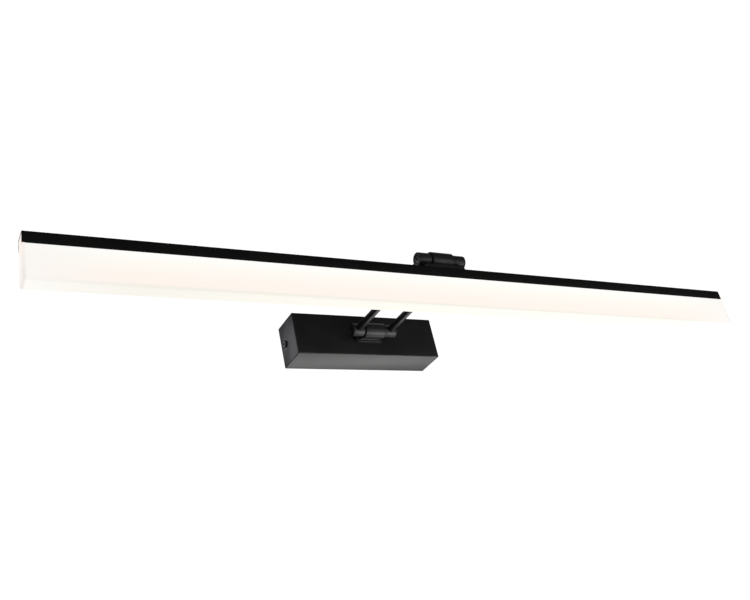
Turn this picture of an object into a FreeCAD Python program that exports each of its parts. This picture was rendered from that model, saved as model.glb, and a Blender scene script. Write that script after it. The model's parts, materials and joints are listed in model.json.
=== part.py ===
import FreeCAD, Part
import math
import os
import re
import Sketcher
from FreeCAD import Placement, Rotation, Vector

# Picture light: a wall box, a two-rod arm hinged to its front, and a lamp bar hinged to the arm.
# Frame: X along the lamp, +Z up, the room is towards -Y. The origin is the middle of the wall
# plate's back face, which lies on the wall. Both hinge axes run along X.

DRIVING = [
    ("box_length", 160, "box cover, along X"),
    ("box_height", 44, "box cover, along Z"),
    ("box_depth", 34, "wall to the cover's front face"),
    ("cover_wall", 1.5, "sheet of the box cover"),
    ("cover_round", 0.8, "radius of the cover's outer edges"),
    ("plate_wall", 1.5, "sheet of the wall plate"),
    ("plate_bend", 1.3, "outer radius of the wall plate's bends"),
    ("plate_gap", 0.4, "wall plate to the inside of the cover, each side"),
    ("ear_depth", 16, "wall to the tip of a bent ear"),
    ("ear_width", 18, "width of a bent ear"),
    ("slot_spacing", 110, "middle to middle of the two wall-screw slots"),
    ("slot_width", 4.5, "width of a wall-screw slot"),
    ("slot_length", 10, "end-to-end length of a wall-screw slot"),
    ("cable_bore", 8, "bore of the cable bush"),
    ("bush_wall", 2, "wall of the cable bush"),
    ("bush_rim", 2.5, "how far the bush's flange stands out round its neck"),
    ("bush_flange", 1.5, "thickness of the bush's flange"),
    ("side_screw_depth", 9.5, "wall to the axis of the side screws"),
    ("side_thread", 4, "thread of the side screws"),
    ("side_head", 7.4, "head diameter of the side screws"),
    ("side_head_height", 1.5, "head height of the side screws"),
    ("side_socket", 2.5, "across the flats of a side screw's hexagon socket"),
    ("side_socket_depth", 1.1, "depth of a side screw's hexagon socket"),
    ("side_screw_reach", 8, "length of a side screw under its head"),
    ("nut_width", 7, "across the flats of an ear nut"),
    ("nut_thick", 3.2, "thickness of an ear nut"),
    ("hole_gap", 0.15, "radial clearance of a screw or stud in a plain hole"),
    ("running_gap", 0.05, "radial clearance of an axle in its bore"),
    ("axle_reach", 11.5, "cover's front face to the lower hinge axis"),
    ("hinge_drop", 1, "lower hinge axis below the middle of the box"),
    ("hinge_length", 48, "both knuckles and the barrel between them, along X"),
    ("hinge_gap", 0.6, "gap between a knuckle and the barrel"),
    ("barrel_length", 22, "barrel, along X"),
    ("barrel_width", 15, "diameter of the barrel"),
    ("knuckle_width", 12.4, "diameter of a knuckle"),
    ("edge_chamfer", 0.5, "chamfer on the hinge pieces' rims"),
    ("axle_width", 4, "diameter of an axle's shank"),
    ("axle_head", 7, "diameter of an axle's head"),
    ("axle_head_height", 3.2, "height of an axle's head"),
    ("axle_head_recess", 0.3, "axle head below the knuckle's end face"),
    ("axle_end_wall", 3.4, "knuckle left beyond the axle's threaded tip"),
    ("axle_socket", 2.5, "across the flats of an axle's hexagon socket"),
    ("axle_socket_depth", 2, "depth of an axle's hexagon socket"),
    ("washer_width", 11, "diameter of a friction washer"),
    ("washer_thick", 0.4, "thickness of a friction washer"),
    ("chamber_width", 9.8, "diameter of the wire chamber in a knuckle"),
    ("chamber_depth", 6.5, "depth of the wire chamber from the knuckle's inner face"),
    ("wire_channel", 2.2, "diameter of the wire channel through a barrel"),
    ("wire_channel_offset", 4, "wire channel's middle to the hinge axis"),
    ("lower_base_length", 30, "plate of the lower hinge base, along X"),
    ("lower_base_width", 11.4, "plate of the lower hinge base, across X"),
    ("lower_neck_width", 10, "neck of the lower hinge base"),
    ("upper_base_length", 42, "plate of the upper hinge base, along X"),
    ("upper_base_width", 12, "plate of the upper hinge base, across X"),
    ("upper_neck_width", 11, "neck of the upper hinge base"),
    ("base_wall", 2.5, "thickness of a hinge base's plate"),
    ("base_corner", 3, "corner radius of a hinge base's plate"),
    ("lower_stud", 8, "diameter of the hollow stud behind the lower hinge"),
    ("lower_stud_bore", 4.4, "bore of the lower stud"),
    ("lower_nut_width", 12, "across the flats of the lower stud's nut"),
    ("lower_nut_thick", 4, "thickness of the lower stud's nut"),
    ("upper_stud", 6, "diameter of the hollow stud under the upper hinge"),
    ("upper_stud_bore", 3.2, "bore of the upper stud"),
    ("upper_nut_width", 9, "across the flats of the upper stud's nut"),
    ("upper_nut_thick", 2.4, "thickness of the upper stud's nut"),
    ("stud_depth", 5, "how far a stud is screwed into its hinge base"),
    ("stud_washer_thick", 0.5, "thickness of a stud's washer"),
    ("stud_washer_rim", 2.4, "how far a stud's washer stands out round the stud"),
    ("stud_tip", 0.5, "stud beyond its nut"),
    ("base_screw_spacing", 22, "between the two screws of the lower hinge base"),
    ("base_thread", 3, "thread of the hinge base's screws"),
    ("base_screw_bite", 2, "depth of those screws in the hinge base"),
    ("base_head", 5.5, "head diameter of those screws"),
    ("base_head_height", 1.8, "head height of those screws"),
    ("arm_length", 131, "lower hinge axis to upper hinge axis"),
    ("rod_width", 7, "outside diameter of a rod"),
    ("rod_bore", 4.6, "bore of a rod"),
    ("rod_gap", 0.3, "end of a rod to the head of the axle"),
    ("rod_wire", 1.8, "diameter of the wire in a rod"),
    ("axle_height", 10.7, "top of the lamp bar to the upper hinge axis"),
    ("bar_length", 700, "lamp bar, end to end"),
    ("bar_height", 39.4, "lamp bar, along Z"),
    ("bar_depth", 14, "lamp bar, along Y"),
    ("lip_height", 9.8, "height of the metal channel's sides"),
    ("channel_wall", 1.2, "side wall of the channel"),
    ("channel_top", 1.5, "top wall of the channel"),
    ("channel_round", 0.5, "radius of the channel's upper edges"),
    ("rib_width", 0.8, "how far a board rib stands in from the channel's wall"),
    ("rib_height", 0.6, "thickness of a board rib"),
    ("board_drop", 6, "top of the bar to the top of the light board"),
    ("board_wall", 1, "thickness of the light board"),
    ("board_hole", 5, "hole for the wires in the light board"),
    ("board_gap", 0.15, "clearance of the light board between its ribs and walls"),
    ("board_end_gap", 2, "end of the light board to the end cap"),
    ("led_count", 56, "light-emitting chips on the board"),
    ("led_pitch", 12, "chip to chip"),
    ("led_length", 3.5, "chip, along X"),
    ("led_width", 2.8, "chip, along Y"),
    ("led_height", 0.7, "chip, along Z"),
    ("diffuser_wall", 2, "wall of the diffuser"),
    ("diffuser_round", 1.4, "outer corner radius under the diffuser"),
    ("tongue_height", 2, "how far the diffuser reaches up between the channel's lips"),
    ("tongue_gap", 0.1, "diffuser's tongue to the channel's wall"),
    ("cap_wall", 2, "thickness of an end cap"),
    ("cap_gap", 0.15, "end cap to the inside of the channel and to its ribs"),
    ("plug_depth", 4, "how far an end cap's plug reaches into the diffuser"),
    ("plug_gap", 0.15, "plug to the inside of the diffuser"),
    ("plug_wall", 1.2, "wall of the hollow plug"),
    ("driver_length", 44, "driver case, along X"),
    ("driver_height", 34, "driver case, along Z"),
    ("driver_depth", 17, "driver case without its lid, along Y"),
    ("driver_wall", 1.4, "wall of the driver case"),
    ("driver_lid", 1.5, "thickness of the driver's lid"),
    ("driver_pad", 1, "adhesive pad between the driver and the cover"),
    ("driver_pad_inset", 4, "edge of the adhesive pad in from the driver's edge"),
    ("driver_offset", 49, "middle of the driver to the middle of the box"),
    ("driver_board_wall", 1.2, "thickness of the driver's board"),
    ("driver_boss", 3, "board above the case's floor"),
    ("driver_foot", 3, "diameter of a foot under the driver's board"),
    ("driver_board_gap", 0.6, "driver's board to the case's walls"),
    ("lead_hole", 6.4, "hole for the wires in the driver case"),
    ("coil_length", 13, "transformer on the driver's board, along X"),
    ("coil_height", 14, "transformer, along Z"),
    ("coil_rise", 8.5, "transformer above the driver's board"),
    ("coil_offset", -2.5, "middle of the transformer to the middle of the driver, along X"),
    ("coil_lift", 4, "middle of the transformer above the middle of the driver"),
    ("bridge_length", 6, "rectifier on the driver's board, along X"),
    ("bridge_height", 10, "rectifier, along Z"),
    ("bridge_rise", 3.4, "rectifier above the driver's board"),
    ("bridge_offset", 10.5, "middle of the rectifier to the middle of the driver, along X"),
    ("bridge_lift", -7, "middle of the rectifier above the middle of the driver"),
    ("can_width", 7, "diameter of a capacitor"),
    ("can_rise", 9, "capacitor above the driver's board"),
    ("can_inset", 7.5, "middle of a capacitor to the driver's end"),
    ("can_spread", 13, "between the two capacitors"),
    ("terminal_length", 30, "terminal block, along X"),
    ("terminal_height", 16, "terminal block, along Z"),
    ("terminal_depth", 13, "terminal block, along Y"),
    ("terminal_offset", 37, "middle of the terminal block to the middle of the box"),
    ("terminal_pitch", 9, "pole to pole"),
    ("terminal_bore", 3.4, "wire hole of a pole"),
    ("terminal_chamfer", 1, "chamfer round the terminal block's front"),
    ("terminal_screw", 3.2, "head diameter of a pole's screw"),
    ("terminal_head_height", 1.2, "head height of a pole's screw"),
    ("terminal_thread", 2.2, "thread of a pole's screw"),
    ("terminal_screw_reach", 2.2, "length of a pole's screw under its head"),
    ("terminal_screw_sink", 1.6, "front of the terminal block to the underside of a pole's screw head"),
    ("terminal_screw_row", 9, "between the two screws of one pole"),
    ("earth_offset", -34, "earth screw to the middle of the box"),
    ("earth_thread", 4, "thread of the earth screw"),
    ("earth_head", 7.4, "head diameter of the earth screw"),
    ("earth_head_height", 2, "head height of the earth screw"),
    ("supply_wire", 2.2, "diameter of a supply wire"),
    ("lamp_wire", 1.4, "diameter of a lamp wire"),
    ("board_wire", 1.1, "diameter of a wire to the light board"),
    ("wire_gap", 0.1, "surface to surface of two wires that run together"),
]

CROSS_SLOT = 0.22          # width of a cross recess, as a share of the screw's head
CROSS_SPAN = 0.62          # length of a cross recess, as a share of the screw's head
CROSS_DEPTH = 0.55         # depth of a cross recess, as a share of the head's height
ARC_SHARE = 0.45           # part of the shorter run that an arc takes at a wire's corner
SWEEP_ERROR = 0.01         # largest share by which a swept wire's volume may be off
NEAR = 1e-4                # two places closer than this are the same
LEFT, RIGHT = -1, 1

# Places that several pieces share, as formulas of the driving sizes.
PLATE_LENGTH = "(box_length - 2*cover_wall - 2*plate_gap)"
PLATE_HEIGHT = "(box_height - 2*cover_wall - 2*plate_gap)"
COVER_INSIDE = "(cover_wall - box_depth)"
LOWER_Y = "(-box_depth - axle_reach)"
UPPER_Y = "(-box_depth - axle_reach - arm_length)"
AXLE_Z = "(-hinge_drop)"
BAR_TOP = "(-hinge_drop - axle_height)"
KNUCKLE_START = "(barrel_length/2 + hinge_gap)"
KNUCKLE_LENGTH = "(hinge_length/2 - barrel_length/2 - hinge_gap)"
ROD_X = f"({KNUCKLE_START} + {KNUCKLE_LENGTH}/2)"
ROD_INSET = "(axle_head/2 + rod_gap)"
BODY_LENGTH = "(bar_length - 2*cap_wall)"
FIXING_X = "(terminal_offset + terminal_pitch/2)"
FIXING_SEAT = "((terminal_depth - terminal_bore)/2 - hole_gap)"
DRIVER_FLOOR = f"({COVER_INSIDE} + driver_pad)"
BOARD_TOP = f"({BAR_TOP} - board_drop)"
CHANNEL_INSIDE = "(bar_depth - 2*channel_wall)"
RIB_TOP = "(board_gap + rib_height - board_drop)"
RIB_FOOT = "(-board_drop - board_wall - rib_height)"
DIFFUSER_TOP = f"({BAR_TOP} - lip_height)"

UPRIGHT = Rotation()
ALONG_X = Rotation(Vector(0, 1, 0), 90)
ALONG_MINUS_X = Rotation(Vector(0, 1, 0), -90)
ALONG_Y = Rotation(Vector(1, 0, 0), -90)
ALONG_MINUS_Y = Rotation(Vector(1, 0, 0), 90)
ALONG_MINUS_Z = Rotation(Vector(1, 0, 0), 180)
HALF_TURN_Y = Rotation(Vector(0, 1, 0), 180)
HALF_TURN_Z = Rotation(Vector(0, 0, 1), 180)

doc = FreeCAD.newDocument("picture_light")
sheet = doc.addObject("Spreadsheet::Sheet", "sizes")
for row, (alias, value, meaning) in enumerate(DRIVING, 1):
    sheet.set(f"A{row}", meaning)
    sheet.set(f"B{row}", str(value))
    sheet.setAlias(f"B{row}", alias)
doc.recompute()

SIZE_NAME = re.compile(r"\b(" + "|".join(alias for alias, value, meaning in DRIVING) + r")\b")
subparts = []


def size(formula):
    """Value of a formula of the driving sizes."""
    return float(sheet.evalExpression(formula))


def bind(piece, formulas):
    for prop, formula in formulas.items():
        piece.setExpression(prop, SIZE_NAME.sub(r"sizes.\1", formula))


def place(piece, x="0", y="0", z="0", turn=UPRIGHT):
    piece.Placement = Placement(Vector(), turn)
    axes = {"Placement.Base.x": x, "Placement.Base.y": y, "Placement.Base.z": z}
    bind(piece, {prop: formula for prop, formula in axes.items() if formula != "0"})
    return piece


def keep(piece, node):
    """Name a finished sub-part."""
    piece.Label = node
    subparts.append(piece)


# Primitives and booleans


def block(name, length, width, height, x="0", y="0", z="0"):
    """Box given by its middle."""
    piece = doc.addObject("Part::Box", name)
    bind(piece, {"Length": length, "Width": width, "Height": height})
    return place(piece, f"({x}) - ({length})/2", f"({y}) - ({width})/2", f"({z}) - ({height})/2")


def cylinder(name, diameter, length, x="0", y="0", z="0", turn=UPRIGHT):
    piece = doc.addObject("Part::Cylinder", name)
    bind(piece, {"Radius": f"({diameter})/2", "Height": length})
    return place(piece, x, y, z, turn)


def hexagon(name, across_flats, length, x="0", y="0", z="0"):
    piece = doc.addObject("Part::Prism", name)
    piece.Polygon = 6
    bind(piece, {"Circumradius": f"({across_flats})/sqrt(3)", "Height": length})
    return place(piece, x, y, z)


def cut(name, base, tool):
    piece = doc.addObject("Part::Cut", name)
    piece.Base = base
    piece.Tool = tool
    return piece


def fuse(name, pieces):
    piece = doc.addObject("Part::MultiFuse", name)
    piece.Shapes = pieces
    return piece


def group(name, pieces):
    piece = doc.addObject("Part::Compound", name)
    piece.Links = pieces
    return piece


def tube(name, outside, bore, length):
    return cut(name, cylinder(name + "_outside", outside, length), cylinder(name + "_bore", bore, length))


def hexagon_nut(name, across_flats, bore, thick):
    return cut(name, hexagon(name + "_blank", across_flats, thick), cylinder(name + "_bore", bore, thick))


def cross_screw(name, head, head_height, thread, reach):
    """Pan-head screw: the thread along local +Z from the origin, the head below the origin."""
    shank = cylinder(name + "_shank", thread, reach)
    cap = cylinder(name + "_head", head, head_height, z=f"-({head_height})")
    recess = f"({head_height})*{CROSS_DEPTH}"
    middle = f"-({head_height}) + {recess}/2"
    bars = []
    for number, (length, width) in enumerate([(CROSS_SPAN, CROSS_SLOT), (CROSS_SLOT, CROSS_SPAN)]):
        sides = (f"({head})*{length}", f"({head})*{width}", recess)
        bars.append(block(f"{name}_recess{number}", *sides, z=middle))
    return cut(name, fuse(name + "_blank", [shank, cap]), fuse(name + "_cross", bars))


def socket_screw(name, head, head_height, socket, socket_depth, thread, reach):
    """Low-head screw with a hexagon socket, which lies as a cross_screw does."""
    shank = cylinder(name + "_shank", thread, reach)
    cap = cylinder(name + "_head", head, head_height, z=f"-({head_height})")
    recess = hexagon(name + "_socket", socket, socket_depth, z=f"-({head_height})")
    return cut(name, fuse(name + "_blank", [shank, cap]), recess)


# Bodies, sketches and features


def new_body(name, x="0", y="0", z="0", turn=UPRIGHT):
    return place(doc.addObject("PartDesign::Body", name), x, y, z, turn)


def sketch_on(body, name, role, shift=None):
    """Sketch on one of the body's own planes, moved along the plane's normal by shift."""
    sketch = body.newObject("Sketcher::SketchObject", name)
    sketch.AttachmentSupport = [(plane, "") for plane in body.Origin.OriginFeatures if plane.Role == role]
    sketch.MapMode = "FlatFace"
    if shift:
        bind(sketch, {"AttachmentOffset.Base.z": shift})
    return sketch


def dimension(sketch, kind, picks, formula):
    number = sketch.addConstraint(Sketcher.Constraint(kind, *picks, size(formula)))
    bind(sketch, {f"Constraints[{number}]": formula})


def locate(sketch, geometry, point, x, y):
    """Tie a point to the sketch's origin; an offset of 0 puts it on the axis."""
    if x == "0":
        sketch.addConstraint(Sketcher.Constraint("PointOnObject", geometry, point, -2))
    else:
        dimension(sketch, "DistanceX", (-1, 1, geometry, point), x)
    if y == "0":
        sketch.addConstraint(Sketcher.Constraint("PointOnObject", geometry, point, -1))
    else:
        dimension(sketch, "DistanceY", (-1, 1, geometry, point), y)


def draw_rectangle(sketch, width, height, x="0", y="0"):
    """Rectangle given by its middle."""
    left, low = size(f"({x}) - ({width})/2"), size(f"({y}) - ({height})/2")
    right, high = left + size(width), low + size(height)
    corners = [Vector(left, low), Vector(right, low), Vector(right, high), Vector(left, high)]
    first = sketch.GeometryCount
    for start, end in zip(corners, corners[1:] + corners[:1]):
        sketch.addGeometry(Part.LineSegment(start, end), False)
    for side in range(4):
        joined = (first + side, 2, first + (side + 1) % 4, 1)
        sketch.addConstraint(Sketcher.Constraint("Coincident", *joined))
        kind = "Vertical" if side % 2 else "Horizontal"
        sketch.addConstraint(Sketcher.Constraint(kind, first + side))
    dimension(sketch, "DistanceX", (first, 1, first, 2), width)
    dimension(sketch, "DistanceY", (first + 1, 1, first + 1, 2), height)
    dimension(sketch, "DistanceX", (-1, 1, first, 1), f"({x}) - ({width})/2")
    dimension(sketch, "DistanceY", (-1, 1, first, 1), f"({y}) - ({height})/2")


def draw_circle(sketch, diameter, x="0", y="0"):
    middle = Vector(size(x), size(y))
    circle = sketch.addGeometry(Part.Circle(middle, Vector(0, 0, 1), size(diameter)/2), False)
    dimension(sketch, "Radius", (circle,), f"({diameter})/2")
    locate(sketch, circle, 3, x, y)


def draw_slot(sketch, length, width, x):
    """Round-ended slot along the sketch's x axis, with its middle at x on that axis."""
    radius = size(width)/2
    reach = f"(({length}) - ({width}))/2"
    near, far = size(f"({x}) - {reach}"), size(f"({x}) + {reach}")
    quarter = math.pi/2
    ends = [(near, quarter, 3*quarter), (far, -quarter, quarter)]
    first = sketch.GeometryCount
    for middle, start, stop in ends:
        circle = Part.Circle(Vector(middle, 0), Vector(0, 0, 1), radius)
        sketch.addGeometry(Part.ArcOfCircle(circle, start, stop), False)
    sketch.addGeometry(Part.LineSegment(Vector(near, -radius), Vector(far, -radius)), False)
    sketch.addGeometry(Part.LineSegment(Vector(far, radius), Vector(near, radius)), False)
    low, high = first + 2, first + 3
    joins = [(first, 2, low, 1), (low, 2, first + 1, 1), (first + 1, 2, high, 1), (high, 2, first, 1)]
    for join in joins:
        sketch.addConstraint(Sketcher.Constraint("Tangent", *join))
    dimension(sketch, "Radius", (first,), f"({width})/2")
    locate(sketch, first, 3, f"({x}) - {reach}", "0")
    locate(sketch, first + 1, 3, f"({x}) + {reach}", "0")


def pad(body, sketch, length, middle=False, reverse=False):
    feature = body.newObject("PartDesign::Pad", sketch.Name + "_pad")
    feature.Profile = sketch
    feature.SideType = "Symmetric" if middle else "One side"
    feature.Reversed = reverse
    bind(feature, {"Length": length})
    doc.recompute()


def pocket(body, sketch, length, middle=False, reverse=False):
    """Cut a sketch out of the body; a cut that removes nothing stops the build."""
    before = body.Shape.Volume
    feature = body.newObject("PartDesign::Pocket", sketch.Name + "_pocket")
    feature.Profile = sketch
    feature.SideType = "Symmetric" if middle else "One side"
    feature.Reversed = reverse
    bind(feature, {"Length": length})
    doc.recompute()
    if body.Shape.Volume > before - NEAR:
        raise ValueError(f"{feature.Name} cuts nothing")


def dress(body, kind, name, formula, chosen):
    """Fillet or chamfer the edges of the body's tip that the test picks."""
    tip = body.Tip
    names = [f"Edge{number}" for number, edge in enumerate(tip.Shape.Edges, 1) if chosen(edge)]
    if not names:
        raise ValueError(f"{name} finds no edge")
    feature = body.newObject("PartDesign::" + kind, name)
    feature.Base = (tip, names)
    bind(feature, {"Radius" if kind == "Fillet" else "Size": formula})
    doc.recompute()


def lies_at(edge, axis, formula):
    """Whether the whole edge lies in one plane across an axis of the body."""
    low = getattr(edge.BoundBox, axis + "Min")
    high = getattr(edge.BoundBox, axis + "Max")
    target = size(formula)
    return abs(low - target) < NEAR and abs(high - target) < NEAR


def runs_along(edge, axis):
    """Whether the edge is straight and parallel to an axis of the body."""
    if edge.Curve.TypeId != "Part::GeomLine":
        return False
    spans = {"X": edge.BoundBox.XLength, "Y": edge.BoundBox.YLength, "Z": edge.BoundBox.ZLength}
    along = spans.pop(axis)
    return along > NEAR and max(spans.values()) < NEAR


# Wall box


def make_wall_plate():
    body = new_body("WallPlate")
    sheet_outline = sketch_on(body, "PlateOutline", "XZ_Plane")
    draw_rectangle(sheet_outline, PLATE_LENGTH, PLATE_HEIGHT)
    pad(body, sheet_outline, "plate_wall")
    ears = sketch_on(body, "PlateEars", "XZ_Plane")
    for side in (LEFT, RIGHT):
        middle = f"{side}*({PLATE_LENGTH} - plate_wall)/2"
        draw_rectangle(ears, "plate_wall", "ear_width", x=middle)
    pad(body, ears, "ear_depth")
    holes = sketch_on(body, "PlateHoles", "XZ_Plane")
    draw_circle(holes, "cable_bore + 2*bush_wall")
    draw_circle(holes, "earth_thread", x="earth_offset")
    draw_circle(holes, "base_thread", x=FIXING_X)
    for side in (LEFT, RIGHT):
        draw_slot(holes, "slot_length", "slot_width", f"{side}*slot_spacing/2")
    pocket(body, holes, "ear_depth", reverse=True)
    threads = sketch_on(body, "EarHoles", "YZ_Plane")
    draw_circle(threads, "side_thread + 2*hole_gap", x="-side_screw_depth")
    pocket(body, threads, "box_length", middle=True)
    bends = [f"-{PLATE_LENGTH}/2", f"{PLATE_LENGTH}/2"]
    dress(body, "Fillet", "PlateBends", "plate_bend",
          lambda edge: lies_at(edge, "Y", "0") and any(lies_at(edge, "X", bend) for bend in bends))
    keep(body, "wall_plate")


def make_cable_bush():
    neck = cylinder("BushNeck", "cable_bore + 2*bush_wall", "plate_wall", turn=ALONG_MINUS_Y)
    flange_width = "cable_bore + 2*bush_wall + 2*bush_rim"
    flange = cylinder("BushFlange", flange_width, "bush_flange", y="-plate_wall", turn=ALONG_MINUS_Y)
    bore = cylinder("BushBore", "cable_bore", "plate_wall + bush_flange", turn=ALONG_MINUS_Y)
    keep(cut("CableBush", fuse("BushBlank", [neck, flange]), bore), "cable_bush")


def make_box_cover():
    body = new_body("BoxCover")
    outline = sketch_on(body, "CoverOutline", "XZ_Plane")
    draw_rectangle(outline, "box_length", "box_height")
    pad(body, outline, "box_depth")
    dress(body, "Fillet", "CoverEdges", "cover_round",
          lambda edge: runs_along(edge, "Y") or lies_at(edge, "Y", "-box_depth"))
    hollow = sketch_on(body, "CoverHollow", "XZ_Plane")
    draw_rectangle(hollow, "box_length - 2*cover_wall", "box_height - 2*cover_wall")
    pocket(body, hollow, "box_depth - cover_wall", reverse=True)
    front = sketch_on(body, "CoverFrontHoles", "XZ_Plane")
    draw_circle(front, "lower_stud + 2*hole_gap", y=AXLE_Z)
    for side in (LEFT, RIGHT):
        draw_circle(front, "base_thread + 2*hole_gap", x=f"{side}*base_screw_spacing/2", y=AXLE_Z)
    pocket(body, front, "box_depth", reverse=True)
    sides = sketch_on(body, "CoverSideHoles", "YZ_Plane")
    draw_circle(sides, "side_thread + 2*hole_gap", x="-side_screw_depth")
    pocket(body, sides, "box_length", middle=True)
    keep(body, "box_cover")


def make_cover_screws():
    """The two screws in the cover's ends and the nuts pressed into the ears behind them."""
    screws, nuts = [], []
    ear_inside = f"({PLATE_LENGTH}/2 - plate_wall)"
    for side, turn, name in ((LEFT, ALONG_X, "Left"), (RIGHT, ALONG_MINUS_X, "Right")):
        screw = socket_screw(f"Side{name}Screw", "side_head", "side_head_height", "side_socket",
                             "side_socket_depth", "side_thread", "side_screw_reach")
        screws.append(place(screw, f"{side}*box_length/2", "-side_screw_depth", turn=turn))
        nut = hexagon_nut(f"Ear{name}Nut", "nut_width", "side_thread", "nut_thick")
        nuts.append(place(nut, f"{side}*{ear_inside}", "-side_screw_depth", turn=turn))
    keep(group("SideScrews", screws), "cover_screws")
    keep(group("EarNuts", nuts), "ear_nuts")


def make_driver():
    """LED driver in its own plastic case, stuck to the inside of the cover's front."""
    middle = "(-driver_offset)"
    pad_middle = f"{COVER_INSIDE} + driver_pad/2"
    pad_length = "driver_length - 2*driver_pad_inset"
    pad_height = "driver_height - 2*driver_pad_inset"
    keep(block("DriverPad", pad_length, "driver_pad", pad_height, middle, pad_middle), "driver_pad")
    body = new_body("DriverCase", middle, DRIVER_FLOOR)
    outline = sketch_on(body, "CaseOutline", "XZ_Plane")
    draw_rectangle(outline, "driver_length", "driver_height")
    pad(body, outline, "driver_depth", reverse=True)
    dress(body, "Fillet", "CaseCorners", "driver_wall", lambda edge: runs_along(edge, "Y"))
    hollow = sketch_on(body, "CaseHollow", "XZ_Plane", "-driver_wall")
    draw_rectangle(hollow, "driver_length - 2*driver_wall", "driver_height - 2*driver_wall")
    pocket(body, hollow, "driver_depth")
    leads = sketch_on(body, "CaseLeadSlot", "YZ_Plane")
    draw_circle(leads, "lead_hole", x="driver_depth - 2*driver_wall - supply_wire")
    pocket(body, leads, "driver_length", reverse=True)
    keep(body, "driver_case")
    lid_middle = f"{DRIVER_FLOOR} + driver_depth + driver_lid/2"
    lid = block("DriverLid", "driver_length", "driver_lid", "driver_height", middle, lid_middle)
    keep(lid, "driver_lid")
    board_length = "driver_length - 2*driver_wall - 2*driver_board_gap"
    board_height = "driver_height - 2*driver_wall - 2*driver_board_gap"
    board_face = f"({DRIVER_FLOOR} + driver_wall + driver_boss + driver_board_wall)"
    board = block("DriverBoardSheet", board_length, "driver_board_wall", board_height, middle,
                  f"{board_face} - driver_board_wall/2")
    feet = []
    for side in (LEFT, RIGHT):
        foot_x = f"{middle} + {side}*(driver_length/2 - driver_wall - driver_foot)"
        foot_y = f"{DRIVER_FLOOR} + driver_wall"
        foot = cylinder(f"DriverFoot{side + 1}", "driver_foot", "driver_boss", foot_x, foot_y, turn=ALONG_Y)
        feet.append(foot)
    keep(fuse("DriverBoard", [board] + feet), "driver_board")
    coil = block("DriverCoil", "coil_length", "coil_rise", "coil_height", f"{middle} + coil_offset",
                 f"{board_face} + coil_rise/2", "coil_lift")
    bridge = block("DriverBridge", "bridge_length", "bridge_rise", "bridge_height",
                   f"{middle} + bridge_offset", f"{board_face} + bridge_rise/2", "bridge_lift")
    can_x = f"{middle} - driver_length/2 + can_inset"
    cans = []
    for side in (LEFT, RIGHT):
        where = (can_x, board_face, f"{side}*can_spread/2")
        cans.append(cylinder(f"DriverCan{side + 1}", "can_width", "can_rise", *where, turn=ALONG_Y))
    keep(group("DriverParts", [coil, bridge] + cans), "driver_components")


def make_terminal_block():
    """Three-pole block on the wall plate, the screws of its poles, its fixing screw and the earth screw."""
    body = new_body("TerminalBlock", "terminal_offset", "-plate_wall")
    outline = sketch_on(body, "TerminalOutline", "XZ_Plane")
    draw_rectangle(outline, "terminal_length", "terminal_height")
    pad(body, outline, "terminal_depth")
    dress(body, "Chamfer", "TerminalEdges", "terminal_chamfer",
          lambda edge: lies_at(edge, "Y", "-terminal_depth"))
    poles = ["-terminal_pitch", "0", "terminal_pitch"]
    rows = ["-terminal_screw_row/2", "terminal_screw_row/2"]
    bores = sketch_on(body, "TerminalBores", "XY_Plane")
    for pole in poles:
        draw_circle(bores, "terminal_bore", x=pole, y="-terminal_depth/2")
    pocket(body, bores, "terminal_height", middle=True)
    wells = sketch_on(body, "TerminalWells", "XZ_Plane", "terminal_depth")
    for pole in poles:
        for row in rows:
            draw_circle(wells, "terminal_screw", x=pole, y=row)
    pocket(body, wells, "terminal_depth/2 - terminal_bore/2")
    fixing_hole = sketch_on(body, "TerminalFixing", "XZ_Plane")
    draw_circle(fixing_hole, "base_thread + 2*hole_gap", x="terminal_pitch/2")
    pocket(body, fixing_hole, "terminal_depth", reverse=True)
    head_seat = sketch_on(body, "TerminalHeadSeat", "XZ_Plane", "terminal_depth")
    draw_circle(head_seat, "base_head + 2*hole_gap", x="terminal_pitch/2")
    pocket(body, head_seat, FIXING_SEAT)
    keep(body, "terminal_block")
    screws = []
    screw_y = "-plate_wall - terminal_depth + terminal_screw_sink"
    for pole in poles:
        for row in rows:
            screw = cross_screw(f"PoleScrew{len(screws)}", "terminal_screw", "terminal_head_height",
                                "terminal_thread", "terminal_screw_reach")
            screws.append(place(screw, f"terminal_offset + ({pole})", screw_y, row, ALONG_Y))
    keep(group("PoleScrews", screws), "terminal_screws")
    under_head = f"(terminal_depth - {FIXING_SEAT})"
    fixing = cross_screw("TerminalScrew", "base_head", "base_head_height", "base_thread",
                         f"{under_head} + plate_wall")
    keep(place(fixing, FIXING_X, f"-plate_wall - {under_head}", turn=ALONG_Y), "terminal_fixing_screw")
    earth = cross_screw("EarthScrew", "earth_head", "earth_head_height", "earth_thread", "plate_wall")
    keep(place(earth, "earth_offset", "-plate_wall", turn=ALONG_Y), "earth_screw")


# Hinges


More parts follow.
